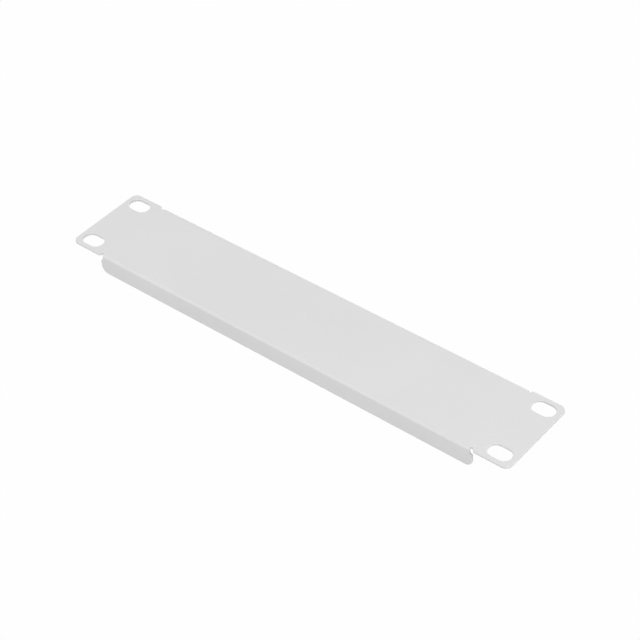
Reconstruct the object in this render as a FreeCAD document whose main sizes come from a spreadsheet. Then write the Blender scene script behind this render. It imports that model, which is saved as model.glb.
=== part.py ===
import FreeCAD, Part
import os
from enum import IntEnum
from math import pi

import Sketcher
from FreeCAD import Vector

os.makedirs("parts", exist_ok=True)

# A one-unit blanking panel for a ten-inch rack, folded from one steel sheet. It lies on the
# free edges of its two flanges. +X runs along the panel, +Y up the rack, and +Z out of the
# front face. The origin is on the lying surface, under the middle of the face.

NODE = "folded_panel"

# Driving sizes in millimetres.
SIZES = [
    ("panel_length", 253.0, "ear tip to ear tip"),
    ("panel_height", 43.8, "one rack unit, less the gap to its neighbours"),
    ("panel_depth", 10.4, "front face to the free edges of the flanges"),
    ("gauge", 1.2, "sheet thickness, coating included"),
    ("bend_radius", 0.3, "inside radius of both folds"),
    ("flange_length", 216.2, "both flanges, between the ears"),
    ("ear_corner_radius", 3.3, "outer corners of the ears"),
    ("flange_corner_radius", 3.6, "free corners of the flanges"),
    ("slot_length", 11.4, "end to end, along the panel"),
    ("slot_width", 7.6, "across the slot"),
    ("slot_inset", 8.2375, "slot centre to ear tip"),
    ("slot_edge_inset", 6.025, "slot centre to the panel's long edge"),
    ("ear_root_radius", 1.5, "corners of the ears beside the reliefs"),
    ("ear_root_straight", 0.1, "least straight edge left between those corners and the reliefs"),
    ("relief_width", 1.35, "relief slot between each end of a flange and the ear beside it"),
    ("relief_reach", 3.6, "front face to the round end of that slot"),
    ("edge_round", 0.15, "coated edges of the face, the ears and the slots"),
]
SIZE = {name: value for name, value, note in SIZES}

# Sizes worked out from the driving ones, in cells of their own.
WORKED_OUT = [
    ("slot_pitch_across", "panel_length - 2 * slot_inset", "slot centres, from ear to ear"),
    ("slot_pitch_up", "panel_height - 2 * slot_edge_inset", "slot centres on one ear"),
    ("outer_bend_radius", "gauge + bend_radius", "outside radius of both folds"),
    ("ear_root_fit", "min(ear_root_radius; outer_bend_radius - ear_root_straight)",
     "root corner of an ear, no larger than the relief leaves room for"),
]

SAME_PLACE = 1e-4


class Ref(IntEnum):
    """How a sketch's constraints number the points of a line and the sketch's own axes."""
    START = 1
    END = 2
    CENTRE = 3
    HORIZONTAL_AXIS = -1
    VERTICAL_AXIS = -2


ORIGIN = (Ref.HORIZONTAL_AXIS, Ref.START)


def size_sheet(doc):
    """Spreadsheet of the driving sizes and those worked out from them, a named cell for each."""
    sheet = doc.addObject("Spreadsheet::Sheet", "sizes")
    formulas = [(name, f"={formula}", note) for name, formula, note in WORKED_OUT]
    for row, (name, content, note) in enumerate(SIZES + formulas, 1):
        sheet.set(f"A{row}", name)
        sheet.set(f"B{row}", str(content))
        sheet.setAlias(f"B{row}", name)
        sheet.set(f"C{row}", note)
    doc.recompute()
    return sheet


def origin_plane(body, role):
    """One of the body's own origin planes."""
    return next(feature for feature in body.Origin.OriginFeatures if feature.Role == role)


def new_sketch(body, name, role, offset):
    """Sketch on an origin plane, moved off it by bound distances along its own axes."""
    sketch = body.newObject("Sketcher::SketchObject", name)
    sketch.AttachmentSupport = (origin_plane(body, role), "")
    sketch.MapMode = "FlatFace"
    for axis, expression in offset.items():
        sketch.setExpression(f"AttachmentOffset.Base.{axis}", expression)
    return sketch


def constrain(sketch, kind, *references):
    """Geometric constraint, such as Tangent or Horizontal."""
    return sketch.addConstraint(Sketcher.Constraint(kind, *references))


def dimension(sketch, name, expression, value, kind, *references):
    """Named dimension that follows an expression of the driving sizes."""
    index = sketch.addConstraint(Sketcher.Constraint(kind, *references, value))
    sketch.renameConstraint(index, name)
    sketch.setExpression(f"Constraints.{name}", expression)


def line(sketch, start, end):
    return sketch.addGeometry(Part.LineSegment(Vector(*start, 0), Vector(*end, 0)), False)


def arc(sketch, centre, radius, start_angle, end_angle):
    circle = Part.Circle(Vector(*centre, 0), Vector(0, 0, 1), radius)
    return sketch.addGeometry(Part.ArcOfCircle(circle, start_angle, end_angle), False)


def pad(body, name, sketch, length, **settings):
    feature = body.newObject("PartDesign::Pad", name)
    return extrusion(feature, sketch, length, settings)


def pocket(body, name, sketch, length, **settings):
    feature = body.newObject("PartDesign::Pocket", name)
    return extrusion(feature, sketch, length, settings)


def extrusion(feature, sketch, length, settings):
    """Common settings of a pad or a pocket. Its length is an expression."""
    feature.Profile = sketch
    feature.setExpression("Length", length)
    for name, value in settings.items():
        setattr(feature, name, value)
    return feature


def folded_sheet(doc, body):
    """Face and both flanges between the ears, as one section pushed along the panel."""
    edge = SIZE["panel_height"] / 2
    top = SIZE["panel_depth"]
    gauge = SIZE["gauge"]
    inside = SIZE["bend_radius"]
    outside = inside + gauge
    bend_y = edge - outside
    bend_z = top - outside

    sketch = new_sketch(body, "fold_section", "YZ_Plane", {})
    left_outer = line(sketch, (-edge, 0), (-edge, bend_z))
    left_outer_bend = arc(sketch, (-bend_y, bend_z), outside, pi / 2, pi)
    front_face = line(sketch, (-bend_y, top), (bend_y, top))
    right_outer_bend = arc(sketch, (bend_y, bend_z), outside, 0, pi / 2)
    right_outer = line(sketch, (edge, bend_z), (edge, 0))
    right_free_edge = line(sketch, (edge, 0), (edge - gauge, 0))
    right_inner = line(sketch, (edge - gauge, 0), (edge - gauge, bend_z))
    right_inner_bend = arc(sketch, (bend_y, bend_z), inside, 0, pi / 2)
    back_face = line(sketch, (bend_y, top - gauge), (-bend_y, top - gauge))
    left_inner_bend = arc(sketch, (-bend_y, bend_z), inside, pi / 2, pi)
    left_inner = line(sketch, (gauge - edge, bend_z), (gauge - edge, 0))
    left_free_edge = line(sketch, (gauge - edge, 0), (-edge, 0))

    constrain(sketch, "Tangent", left_outer, Ref.END, left_outer_bend, Ref.END)
    constrain(sketch, "Tangent", left_outer_bend, Ref.START, front_face, Ref.START)
    constrain(sketch, "Tangent", front_face, Ref.END, right_outer_bend, Ref.END)
    constrain(sketch, "Tangent", right_outer_bend, Ref.START, right_outer, Ref.START)
    constrain(sketch, "Coincident", right_outer, Ref.END, right_free_edge, Ref.START)
    constrain(sketch, "Coincident", right_free_edge, Ref.END, right_inner, Ref.START)
    constrain(sketch, "Tangent", right_inner, Ref.END, right_inner_bend, Ref.START)
    constrain(sketch, "Tangent", right_inner_bend, Ref.END, back_face, Ref.START)
    constrain(sketch, "Tangent", back_face, Ref.END, left_inner_bend, Ref.START)
    constrain(sketch, "Tangent", left_inner_bend, Ref.END, left_inner, Ref.START)
    constrain(sketch, "Coincident", left_inner, Ref.END, left_free_edge, Ref.START)
    constrain(sketch, "Coincident", left_free_edge, Ref.END, left_outer, Ref.START)
    constrain(sketch, "Coincident", left_outer_bend, Ref.CENTRE, left_inner_bend, Ref.CENTRE)
    constrain(sketch, "Coincident", right_outer_bend, Ref.CENTRE, right_inner_bend, Ref.CENTRE)
    constrain(sketch, "Equal", left_outer_bend, right_outer_bend)
    for upright in (left_outer, right_outer, right_inner, left_inner):
        constrain(sketch, "Vertical", upright)
    for level in (front_face, right_free_edge, back_face, left_free_edge):
        constrain(sketch, "Horizontal", level)
    constrain(sketch, "Symmetric", left_outer, Ref.START, right_outer, Ref.END, Ref.VERTICAL_AXIS)
    constrain(sketch, "PointOnObject", left_outer, Ref.START, Ref.HORIZONTAL_AXIS)

    dimension(sketch, "height", "sizes.panel_height", 2 * edge,
              "DistanceX", left_outer, Ref.START, right_outer, Ref.END)
    dimension(sketch, "depth", "sizes.panel_depth", top,
              "DistanceY", left_outer, Ref.START, front_face, Ref.START)
    dimension(sketch, "gauge", "sizes.gauge", gauge,
              "DistanceX", right_free_edge, Ref.END, right_free_edge, Ref.START)
    dimension(sketch, "bend", "sizes.bend_radius", inside, "Radius", right_inner_bend)
    doc.recompute()
    return pad(body, "folded_sheet", sketch, "sizes.flange_length", SideType="Symmetric")


def ears(doc, body):
    """The face beyond the flanges, flat and as thick as the sheet, at both ends."""
    near = SIZE["flange_length"] / 2
    tip = SIZE["panel_length"] / 2
    edge = SIZE["panel_height"] / 2

    sketch = new_sketch(body, "ear_outline", "XY_Plane", {"z": "sizes.panel_depth"})
    root = line(sketch, (near, -edge), (near, edge))
    upper = line(sketch, (near, edge), (tip, edge))
    outer = line(sketch, (tip, edge), (tip, -edge))
    lower = line(sketch, (tip, -edge), (near, -edge))
    for first, second in ((root, upper), (upper, outer), (outer, lower), (lower, root)):
        constrain(sketch, "Coincident", first, Ref.END, second, Ref.START)
    constrain(sketch, "Horizontal", upper)
    constrain(sketch, "Horizontal", lower)
    constrain(sketch, "Vertical", outer)
    constrain(sketch, "Symmetric", root, Ref.START, root, Ref.END, Ref.HORIZONTAL_AXIS)
    dimension(sketch, "root", "sizes.flange_length / 2", near,
              "DistanceX", *ORIGIN, root, Ref.START)
    dimension(sketch, "tip", "sizes.panel_length / 2", tip,
              "DistanceX", *ORIGIN, outer, Ref.START)
    dimension(sketch, "height", "sizes.panel_height", 2 * edge,
              "DistanceY", root, Ref.START, root, Ref.END)
    doc.recompute()

    one_ear = pad(body, "ear", sketch, "sizes.gauge", Reversed=True)
    both_ears = body.newObject("PartDesign::Mirrored", "both_ears")
    both_ears.Originals = [one_ear]
    both_ears.MirrorPlane = (origin_plane(body, "YZ_Plane"), [""])
    body.Tip = both_ears
    doc.recompute()
    return both_ears


def rack_slots(doc, body):
    """Four slots on the rack's hole pattern, the long way along the panel."""
    radius = SIZE["slot_width"] / 2
    reach = SIZE["slot_length"] / 2 - radius
    offset = {
        "x": "-sizes.slot_pitch_across / 2",
        "y": "-sizes.slot_pitch_up / 2",
        "z": "sizes.panel_depth",
    }
    sketch = new_sketch(body, "slot_outline", "XY_Plane", offset)
    lower = line(sketch, (-reach, -radius), (reach, -radius))
    right = arc(sketch, (reach, 0), radius, -pi / 2, pi / 2)
    upper = line(sketch, (reach, radius), (-reach, radius))
    left = arc(sketch, (-reach, 0), radius, pi / 2, 3 * pi / 2)
    for first, second in ((lower, right), (right, upper), (upper, left), (left, lower)):
        constrain(sketch, "Tangent", first, Ref.END, second, Ref.START)
    constrain(sketch, "Equal", left, right)
    constrain(sketch, "Horizontal", lower)
    constrain(sketch, "Symmetric", left, Ref.CENTRE, right, Ref.CENTRE, *ORIGIN)
    dimension(sketch, "end_radius", "sizes.slot_width / 2", radius, "Radius", right)
    dimension(sketch, "centres", "sizes.slot_length - sizes.slot_width", 2 * reach,
              "DistanceX", left, Ref.CENTRE, right, Ref.CENTRE)
    doc.recompute()

    one_slot = pocket(body, "slot", sketch, "sizes.gauge")
    four_slots = body.newObject("PartDesign::MultiTransform", "rack_slots")
    four_slots.Originals = [one_slot]
    across = body.newObject("PartDesign::LinearPattern", "ear_to_ear")
    across.Direction = (sketch, ["H_Axis"])
    across.setExpression("Length", "sizes.slot_pitch_across")
    up = body.newObject("PartDesign::LinearPattern", "up_the_ear")
    up.Direction = (sketch, ["V_Axis"])
    up.setExpression("Length", "sizes.slot_pitch_up")
    four_slots.Transformations = [across, up]
    body.Tip = four_slots
    doc.recompute()
    return four_slots


def fold_reliefs(doc, body):
    """Relief slot beside each end of both folds, so that the folds stand free of the ears."""
    width = SIZE["relief_width"]
    reach = SIZE["relief_reach"]
    straight = reach - width
    sketch = new_sketch(body, "relief_outline", "XZ_Plane", {
        "x": "sizes.flange_length / 2",
        "y": "sizes.panel_depth",
        "z": "sizes.panel_height / 2",
    })
    level = line(sketch, (-width, 0), (0, 0))
    ear_side = line(sketch, (0, 0), (0, -reach))
    round_end = arc(sketch, (0, -straight), width, pi, 3 * pi / 2)
    flange_side = line(sketch, (-width, -straight), (-width, 0))
    constrain(sketch, "Coincident", level, Ref.END, *ORIGIN)
    constrain(sketch, "Coincident", level, Ref.END, ear_side, Ref.START)
    constrain(sketch, "Coincident", ear_side, Ref.END, round_end, Ref.END)
    constrain(sketch, "Tangent", round_end, Ref.START, flange_side, Ref.START)
    constrain(sketch, "Coincident", flange_side, Ref.END, level, Ref.START)
    constrain(sketch, "Horizontal", level)
    constrain(sketch, "Vertical", ear_side)
    constrain(sketch, "PointOnObject", round_end, Ref.CENTRE, ear_side)
    constrain(sketch, "Vertical", flange_side)
    dimension(sketch, "width", "sizes.relief_width", width, "Radius", round_end)
    dimension(sketch, "reach", "sizes.relief_reach", reach,
              "DistanceY", ear_side, Ref.END, ear_side, Ref.START)
    doc.recompute()

    one_relief = pocket(body, "fold_relief", sketch, "sizes.outer_bend_radius")
    four_reliefs = body.newObject("PartDesign::MultiTransform", "fold_reliefs")
    four_reliefs.Originals = [one_relief]
    other_ear = body.newObject("PartDesign::Mirrored", "other_ear")
    other_ear.MirrorPlane = (origin_plane(body, "YZ_Plane"), [""])
    other_fold = body.newObject("PartDesign::Mirrored", "other_fold")
    other_fold.MirrorPlane = (origin_plane(body, "XZ_Plane"), [""])
    four_reliefs.Transformations = [other_ear, other_fold]
    body.Tip = four_reliefs
    doc.recompute()
    return four_reliefs


def edges_where(shape, wanted):
    """Names of the edges whose box of bounds passes the test."""
    return [f"Edge{n}" for n, edge in enumerate(shape.Edges, 1) if wanted(edge.BoundBox)]


def fillet(doc, body, name, base, edge_names, radius):
    """Fillet on the named edges of the last feature. The radius is an expression."""
    feature = body.newObject("PartDesign::Fillet", name)
    feature.Base = (base, edge_names)
    feature.setExpression("Radius", radius)
    body.Tip = feature
    doc.recompute()
    return feature


def near(value, target):
    return abs(value - target) < SAME_PLACE


def round_corners(doc, body, base):
    """Outer and inner corners of the ears, then the free corners of the flanges."""
    tip = SIZE["panel_length"] / 2
    flange_end = SIZE["flange_length"] / 2
    edge = SIZE["panel_height"] / 2
    top = SIZE["panel_depth"]

    def ear_corner_at(x):
        """Test for the ears' upright edges on their long sides, at one distance along them."""
        def wanted(box):
            upright = near(box.XLength, 0) and near(box.YLength, 0) and near(box.ZMax, top)
            return upright and near(abs(box.XMax), x) and near(abs(box.YMax), edge)
        return wanted

    def flange_corner(box):
        across_sheet = near(box.XLength, 0) and near(box.ZLength, 0)
        return across_sheet and near(abs(box.XMax), flange_end) and near(box.ZMax, 0)

    for name, wanted, radius in (
        ("ear_corners", ear_corner_at(tip), "sizes.ear_corner_radius"),
        ("ear_root_corners", ear_corner_at(flange_end), "sizes.ear_root_fit"),
        ("flange_corners", flange_corner, "sizes.flange_corner_radius"),
    ):
        base = fillet(doc, body, name, base, edges_where(base.Shape, wanted), radius)
    return base


def soften_edges(doc, body, base):
    """Slight rounding of the cut edges in the planes of the face's front and back."""
    front = SIZE["panel_depth"]
    back = front - SIZE["gauge"]
    longest = SIZE["flange_length"] / 2

    def cut_edge(box):
        """The long lines where the folds begin run smoothly on, so they aren't cut edges."""
        level = near(box.ZLength, 0) and (near(box.ZMax, front) or near(box.ZMax, back))
        return level and box.XLength < longest

    return fillet(doc, body, "softened_edges", base, edges_where(base.Shape, cut_edge),
                  "sizes.edge_round")


def check(doc, body):
    """Stop if a feature failed or the panel isn't one sound solid."""
    for item in doc.Objects:
        if "Invalid" in item.State or "Error" in item.State:
            raise RuntimeError(f"{item.Name} failed: {item.State}")
    shape = body.Shape
    if shape.isNull() or not shape.isValid() or len(shape.Solids) != 1:
        raise RuntimeError(f"{body.Label} isn't one valid solid")


def main():
    doc = FreeCAD.newDocument("blanking_panel")
    size_sheet(doc)
    body = doc.addObject("PartDesign::Body", NODE)
    body.Label = NODE
    folded_sheet(doc, body)
    ears(doc, body)
    rack_slots(doc, body)
    base = fold_reliefs(doc, body)
    base = round_corners(doc, body, base)
    soften_edges(doc, body, base)
    check(doc, body)
    body.Shape.exportStep(f"parts/{NODE}.step")


main()
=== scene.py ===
from math import pi, radians

import bmesh
import bpy
from mathutils import Euler, Matrix, Vector


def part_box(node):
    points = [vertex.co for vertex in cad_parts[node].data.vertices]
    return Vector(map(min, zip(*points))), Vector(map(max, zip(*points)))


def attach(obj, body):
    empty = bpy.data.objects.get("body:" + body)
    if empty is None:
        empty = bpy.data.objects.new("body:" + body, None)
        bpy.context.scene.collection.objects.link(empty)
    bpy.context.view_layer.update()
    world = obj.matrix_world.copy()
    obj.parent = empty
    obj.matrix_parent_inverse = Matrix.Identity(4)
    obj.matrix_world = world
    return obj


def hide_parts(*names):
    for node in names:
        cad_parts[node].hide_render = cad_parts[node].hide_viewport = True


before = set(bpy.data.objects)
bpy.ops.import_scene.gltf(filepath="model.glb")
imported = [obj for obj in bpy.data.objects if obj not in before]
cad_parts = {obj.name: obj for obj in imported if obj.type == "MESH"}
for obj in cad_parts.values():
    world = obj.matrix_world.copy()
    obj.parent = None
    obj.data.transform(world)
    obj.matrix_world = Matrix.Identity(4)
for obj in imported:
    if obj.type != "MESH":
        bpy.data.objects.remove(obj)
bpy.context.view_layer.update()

# A powder-coated blanking panel for a ten-inch rack, lying face up on a pale studio floor.
# All sizes are in metres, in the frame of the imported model.

MM = 0.001
PANEL = "folded_panel"
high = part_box(PANEL)[1]

# The sheet, as it was cut and folded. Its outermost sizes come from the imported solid's box.
TIP = high.x
EDGE = high.y
FACE = high.z
GAUGE = 1.2 * MM
INNER_BEND = 0.3 * MM
OUTER_BEND = GAUGE + INNER_BEND
FLANGE_END = 108.1 * MM
EAR_CORNER = 3.3 * MM
EAR_ROOT_CORNER = 1.4 * MM
FLANGE_CORNER = 3.6 * MM
RELIEF_WIDTH = 1.35 * MM
RELIEF_REACH = 3.6 * MM
FOLD_END = FLANGE_END - RELIEF_WIDTH
FOLD_LINE = EDGE - OUTER_BEND

# Each relief is cut this far past the fold line, so that its coated edge runs on flat face.
PAST_FOLD_LINE = 0.05 * MM
RELIEF_ROOT = FOLD_LINE - PAST_FOLD_LINE

# The slots in the ears.
SLOT_LENGTH = 11.4 * MM
SLOT_WIDTH = 7.6 * MM
SLOT_INSET = 8.2375 * MM
SLOT_PITCH_UP = 31.75 * MM
SLOT_X = TIP - SLOT_INSET
SLOT_Y = SLOT_PITCH_UP / 2

# The coated edges.
COAT_EDGE = 0.2 * MM
COAT_EDGE_STEPS = 3
COAT_EDGE_ANGLE = radians(50)

# How finely the mesh follows the round stretches, and how far its support loops lie inside
# the borders of the flats and the ends of the folds.
BEND_STEPS = 12
RELIEF_STEPS = 6
CORNER_STEPS = 10
SLOT_END_STEPS = 16
SUPPORT = 0.3 * MM
END_SUPPORT = 0.6 * MM
MERGE = 0.002 * MM
FLATNESS = 1e-6

# The powder coat: its patterns in millimetres across, its tones as linear grey.
FILM_SIZE = 35
PEEL_SIZE = 1.1
GRAIN_SIZE = 0.22
DARKEST_FILM = 0.712
LIGHTEST_FILM = 0.728
GRAIN_TONE = 0.015
SMOOTHEST_COAT = 0.36
ROUGHEST_COAT = 0.46
PEEL_HEIGHT = 0.03 * MM
GRAIN_HEIGHT = 0.006 * MM

# The studio.
FLOOR_GREY = 0.6
FLOOR_GLOW = 0.98
FLOOR_HALF_SIDE = 6
LAMP_DISTANCE = 1.2
WIDE_LAMP = 0.8
NARROW_LAMP = 0.4


# ---------------------------------------------------------------- the sheet

def rounded_outline(bm, corners, place):
    """Closed line of edges through (a, b, corner radius, steps), each point put in place."""
    verts = [bm.verts.new(place(a, b)) for a, b, radius, steps in corners]
    for pair in zip(verts, verts[1:] + verts[:1]):
        bm.edges.new(pair)
    for vert, (a, b, radius, steps) in zip(verts, corners):
        if radius:
            bmesh.ops.bevel(bm, geom=[vert], offset=radius, segments=steps, profile=0.5,
                            affect="VERTICES", material=-1)


def flat_sheet(outlines, place):
    """Flat piece of sheet inside its outline, around its holes."""
    bm = bmesh.new()
    for corners in outlines:
        rounded_outline(bm, corners, place)
    bmesh.ops.remove_doubles(bm, verts=bm.verts[:], dist=MERGE)
    bmesh.ops.triangle_fill(bm, edges=bm.edges[:], use_beauty=True)
    return bm


def quarter_face():
    """One quarter of the face, with its ear and one slot."""
    half_length, half_width = SLOT_LENGTH / 2, SLOT_WIDTH / 2
    outline = [
        (0, 0, 0, 0),
        (0, -FOLD_LINE, 0, 0),
        (FOLD_END - END_SUPPORT, -FOLD_LINE, 0, 0),
        (FOLD_END, -FOLD_LINE, 0, 0),
        (FOLD_END, -RELIEF_ROOT, 0, 0),
        (FLANGE_END, -RELIEF_ROOT, 0, 0),
        (FLANGE_END, -EDGE, EAR_ROOT_CORNER, CORNER_STEPS),
        (TIP, -EDGE, EAR_CORNER, CORNER_STEPS),
        (TIP, 0, 0, 0),
    ]
    slot = [
        (SLOT_X + x * half_length, -SLOT_Y + y * half_width, half_width, SLOT_END_STEPS)
        for x, y in ((-1, -1), (1, -1), (1, 1), (-1, 1))
    ]
    return flat_sheet([outline, slot], lambda x, y: (x, y, FACE))


def quarter_flange():
    """Half of one flange, below its fold, with the lower half of a relief."""
    outline = [
        (0, FACE - OUTER_BEND, 0, 0),
        (FOLD_END - END_SUPPORT, FACE - OUTER_BEND, 0, 0),
        (FOLD_END, FACE - OUTER_BEND, 0, 0),
        (FOLD_END, FACE - RELIEF_REACH, RELIEF_WIDTH, RELIEF_STEPS),
        (FLANGE_END, FACE - RELIEF_REACH, 0, 0),
        (FLANGE_END, 0, FLANGE_CORNER, CORNER_STEPS),
        (0, 0, 0, 0),
    ]
    bm = flat_sheet([outline], lambda x, z: (x, -EDGE, z))
    bmesh.ops.dissolve_faces(bm, faces=bm.faces[:])
    return bm


def quarter_fold():
    """Half of one fold, spun down from the face."""
    bm = bmesh.new()
    ends = [bm.verts.new((x, -FOLD_LINE, FACE)) for x in (0, FOLD_END - END_SUPPORT, FOLD_END)]
    line = [bm.edges.new(pair) for pair in zip(ends, ends[1:])]
    bmesh.ops.spin(bm, geom=line, cent=(0, -FOLD_LINE, FACE - OUTER_BEND), axis=(1, 0, 0),
                   angle=pi / 2, steps=BEND_STEPS, use_duplicate=False)
    return bm


def joined(pieces):
    """One mesh of several, merged where they meet."""
    whole = bmesh.new()
    for piece in pieces:
        mesh = bpy.data.meshes.new("part_of_sheet")
        piece.to_mesh(mesh)
        piece.free()
        whole.from_mesh(mesh)
        bpy.data.meshes.remove(mesh)
    bmesh.ops.remove_doubles(whole, verts=whole.verts[:], dist=MERGE)
    return whole


def flat_regions(bm):
    """The face and the two flanges: the flat faces, grouped by the way they point."""
    groups = {}
    for face in bm.faces:
        heading = tuple(round(part) for part in face.normal)
        if 1 - max(abs(part) for part in face.normal) < FLATNESS:
            groups.setdefault(heading, []).append(face)
    return groups.values()


def folded_sheet():
    """The outer surface of the whole panel, given its gauge and its coated edges."""
    bm = joined([quarter_face(), quarter_fold(), quarter_flange()])
    for axis in "XY":
        bmesh.ops.mirror(bm, geom=bm.verts[:] + bm.edges[:] + bm.faces[:], axis=axis,
                         matrix=Matrix.Identity(4), merge_dist=MERGE)
    bmesh.ops.remove_doubles(bm, verts=bm.verts[:], dist=MERGE)
    bmesh.ops.recalc_face_normals(bm, faces=bm.faces[:])
    # The surface is open, so this is what makes the front face look up.
    if sum(f.normal.z * f.calc_area() for f in bm.faces) < 0:
        bmesh.ops.reverse_faces(bm, faces=bm.faces[:])
    for faces in flat_regions(bm):
        bmesh.ops.inset_region(bm, faces=faces, thickness=SUPPORT, use_boundary=True,
                               use_even_offset=True)
    bmesh.ops.remove_doubles(bm, verts=bm.verts[:], dist=MERGE)
    for face in bm.faces:
        face.smooth = True
    mesh = bpy.data.meshes.new("coated_sheet")
    bm.to_mesh(mesh)
    bm.free()

    sheet = bpy.data.objects.new("coated_sheet", mesh)
    bpy.context.scene.collection.objects.link(sheet)
    wall = sheet.modifiers.new("gauge", "SOLIDIFY")
    wall.thickness = GAUGE
    wall.offset = -1
    wall.use_even_offset = True
    wall.use_quality_normals = True
    rounding = sheet.modifiers.new("coated edges", "BEVEL")
    rounding.width = COAT_EDGE
    rounding.segments = COAT_EDGE_STEPS
    rounding.limit_method = "ANGLE"
    rounding.angle_limit = COAT_EDGE_ANGLE
    rounding.use_clamp_overlap = False
    return sheet


# ---------------------------------------------------------------- materials

def powder_coat():
    """Satin light grey powder coat: orange peel, a fine grain and a faintly uneven tone."""
    material = bpy.data.materials.new("powder_coat")
    material.use_nodes = True
    nodes, links = material.node_tree.nodes, material.node_tree.links
    shader = nodes["Principled BSDF"]
    shader.inputs["IOR"].default_value = 1.5
    place = nodes.new("ShaderNodeTexCoord")
    in_millimetres = nodes.new("ShaderNodeMapping")
    in_millimetres.inputs["Scale"].default_value = (1 / MM, 1 / MM, 1 / MM)
    links.new(place.outputs["Object"], in_millimetres.inputs["Vector"])

    def clouds(size, detail):
        """Soft pattern of blotches about so many millimetres across."""
        pattern = nodes.new("ShaderNodeTexNoise")
        pattern.inputs["Scale"].default_value = 1 / size
        pattern.inputs["Detail"].default_value = detail
        links.new(in_millimetres.outputs["Vector"], pattern.inputs["Vector"])
        return pattern.outputs["Fac"]

    def between(pattern, lowest, highest):
        """A value that follows a pattern from one level to another.

        Nearly all of a pattern lies between the two From levels.
        """
        spread = nodes.new("ShaderNodeMapRange")
        spread.inputs["From Min"].default_value = 0.3
        spread.inputs["From Max"].default_value = 0.7
        spread.inputs["To Min"].default_value = lowest
        spread.inputs["To Max"].default_value = highest
        links.new(pattern, spread.inputs["Value"])
        return spread.outputs["Result"]

    def raised(pattern, height, under=None):
        """Bumps of a height in metres, on top of those under them."""
        bump = nodes.new("ShaderNodeBump")
        bump.inputs["Distance"].default_value = height
        links.new(pattern, bump.inputs["Height"])
        if under:
            links.new(under, bump.inputs["Normal"])
        return bump.outputs["Normal"]

    film = clouds(FILM_SIZE, detail=2)
    peel = clouds(PEEL_SIZE, detail=1)
    grain = clouds(GRAIN_SIZE, detail=1)
    tone = nodes.new("ShaderNodeMath")
    tone.operation = "ADD"
    links.new(between(film, DARKEST_FILM, LIGHTEST_FILM), tone.inputs[0])
    links.new(between(grain, -GRAIN_TONE, GRAIN_TONE), tone.inputs[1])
    links.new(tone.outputs["Value"], shader.inputs["Base Color"])
    links.new(between(peel, SMOOTHEST_COAT, ROUGHEST_COAT), shader.inputs["Roughness"])
    bumps = raised(grain, GRAIN_HEIGHT, under=raised(peel, PEEL_HEIGHT))
    links.new(bumps, shader.inputs["Normal"])
    return material


def seen_rays(tree):
    """1 for the rays by which the surroundings are seen, and 0 for those that light things."""
    path = tree.nodes.new("ShaderNodeLightPath")
    total = path.outputs["Is Camera Ray"]
    for kind in ("Is Glossy Ray", "Is Transmission Ray"):
        either = tree.nodes.new("ShaderNodeMath")
        either.operation = "MAXIMUM"
        tree.links.new(total, either.inputs[0])
        tree.links.new(path.outputs[kind], either.inputs[1])
        total = either.outputs["Value"]
    return total


def floor_finish():
    """Matt grey floor that is seen as white, with a faint shadow."""
    material = bpy.data.materials.new("studio_floor")
    material.use_nodes = True
    tree = material.node_tree
    nodes, links = tree.nodes, tree.links
    shader = nodes["Principled BSDF"]
    shader.inputs["Base Color"].default_value = (FLOOR_GREY, FLOOR_GREY, FLOOR_GREY, 1)
    shader.inputs["Roughness"].default_value = 1.0
    shader.inputs["Specular IOR Level"].default_value = 0.0
    glow = nodes.new("ShaderNodeEmission")
    glow.inputs["Strength"].default_value = 1.0
    share = nodes.new("ShaderNodeMath")
    share.operation = "MULTIPLY"
    share.inputs[1].default_value = FLOOR_GLOW
    mix = nodes.new("ShaderNodeMixShader")
    links.new(seen_rays(tree), share.inputs[0])
    links.new(share.outputs["Value"], mix.inputs[0])
    links.new(shader.outputs["BSDF"], mix.inputs[1])
    links.new(glow.outputs["Emission"], mix.inputs[2])
    links.new(mix.outputs["Shader"], nodes["Material Output"].inputs["Surface"])
    return material


# ---------------------------------------------------------------- studio

def floor():
    """Wide floor under the panel."""
    bm = bmesh.new()
    bmesh.ops.create_grid(bm, x_segments=1, y_segments=1, size=FLOOR_HALF_SIDE)
    mesh = bpy.data.meshes.new("floor")
    bm.to_mesh(mesh)
    bm.free()
    plane = bpy.data.objects.new("floor", mesh)
    bpy.context.scene.collection.objects.link(plane)
    mesh.materials.append(floor_finish())


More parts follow.
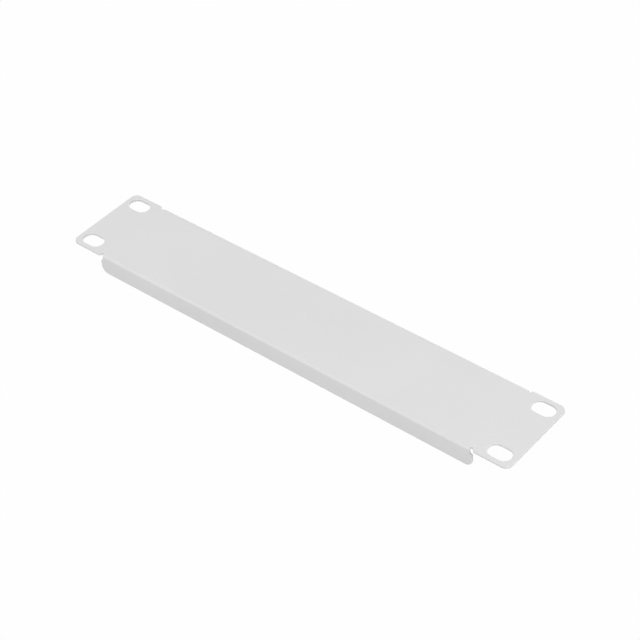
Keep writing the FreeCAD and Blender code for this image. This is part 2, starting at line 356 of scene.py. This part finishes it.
def softbox(name, azimuth, elevation, side, power):
    """Square lamp on a sphere round the panel, facing its middle."""
    lamp = bpy.data.lights.new(name, "AREA")
    lamp.size = side
    lamp.energy = power
    box = bpy.data.objects.new(name, lamp)
    bpy.context.scene.collection.objects.link(box)
    turn = Euler((pi / 2 - radians(elevation), 0, radians(azimuth))).to_matrix()
    place = turn @ Vector((0, 0, LAMP_DISTANCE))
    box.matrix_world = Matrix.Translation(place) @ turn.to_4x4()


def studio_light(level):
    """Even white surroundings. They look white, whatever level they light the panel at."""
    world = bpy.data.worlds.new("studio")
    bpy.context.scene.world = world
    world.use_nodes = True
    tree = world.node_tree
    background = tree.nodes["Background"]
    background.inputs["Color"].default_value = (1, 1, 1, 1)
    strength = tree.nodes.new("ShaderNodeMix")
    strength.data_type = "FLOAT"
    strength.inputs["A"].default_value = level
    strength.inputs["B"].default_value = 1.0
    tree.links.new(seen_rays(tree), strength.inputs["Factor"])
    tree.links.new(strength.outputs["Result"], background.inputs["Strength"])


def camera():
    """Looks down on the panel from beyond its right-hand near corner."""
    azimuth, elevation, roll = radians(42.459), radians(41.884), radians(-4.424)
    aim = Vector((5.857 * MM, 3.412 * MM, FACE))
    distance = 835.808 * MM
    data = bpy.data.cameras.new("camera")
    data.sensor_width = 36
    data.lens = 104.76
    data.clip_start = 0.05
    data.clip_end = 50
    holder = bpy.data.objects.new("camera", data)
    bpy.context.scene.collection.objects.link(holder)
    turn = Euler((pi / 2 - elevation, 0, azimuth)).to_matrix() @ Matrix.Rotation(roll, 3, "Z")
    place = aim + turn @ Vector((0, 0, distance))
    holder.matrix_world = Matrix.Translation(place) @ turn.to_4x4()
    bpy.context.scene.camera = holder


# ---------------------------------------------------------------- the scene

camera()
panel = folded_sheet()
panel.data.materials.append(powder_coat())
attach(panel, "root")
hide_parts(PANEL)

floor()
studio_light(level=0.54)
softbox("right_light", azimuth=90, elevation=25, side=WIDE_LAMP, power=4.4)
softbox("left_light", azimuth=270, elevation=25, side=WIDE_LAMP, power=3.6)
softbox("corner_light", azimuth=45, elevation=40, side=WIDE_LAMP, power=3.7)
softbox("fold_light", azimuth=325, elevation=12, side=NARROW_LAMP, power=2.4)
softbox("far_edge_light", azimuth=180, elevation=12, side=NARROW_LAMP, power=4.3)

bpy.context.scene.view_settings.view_transform = "Standard"
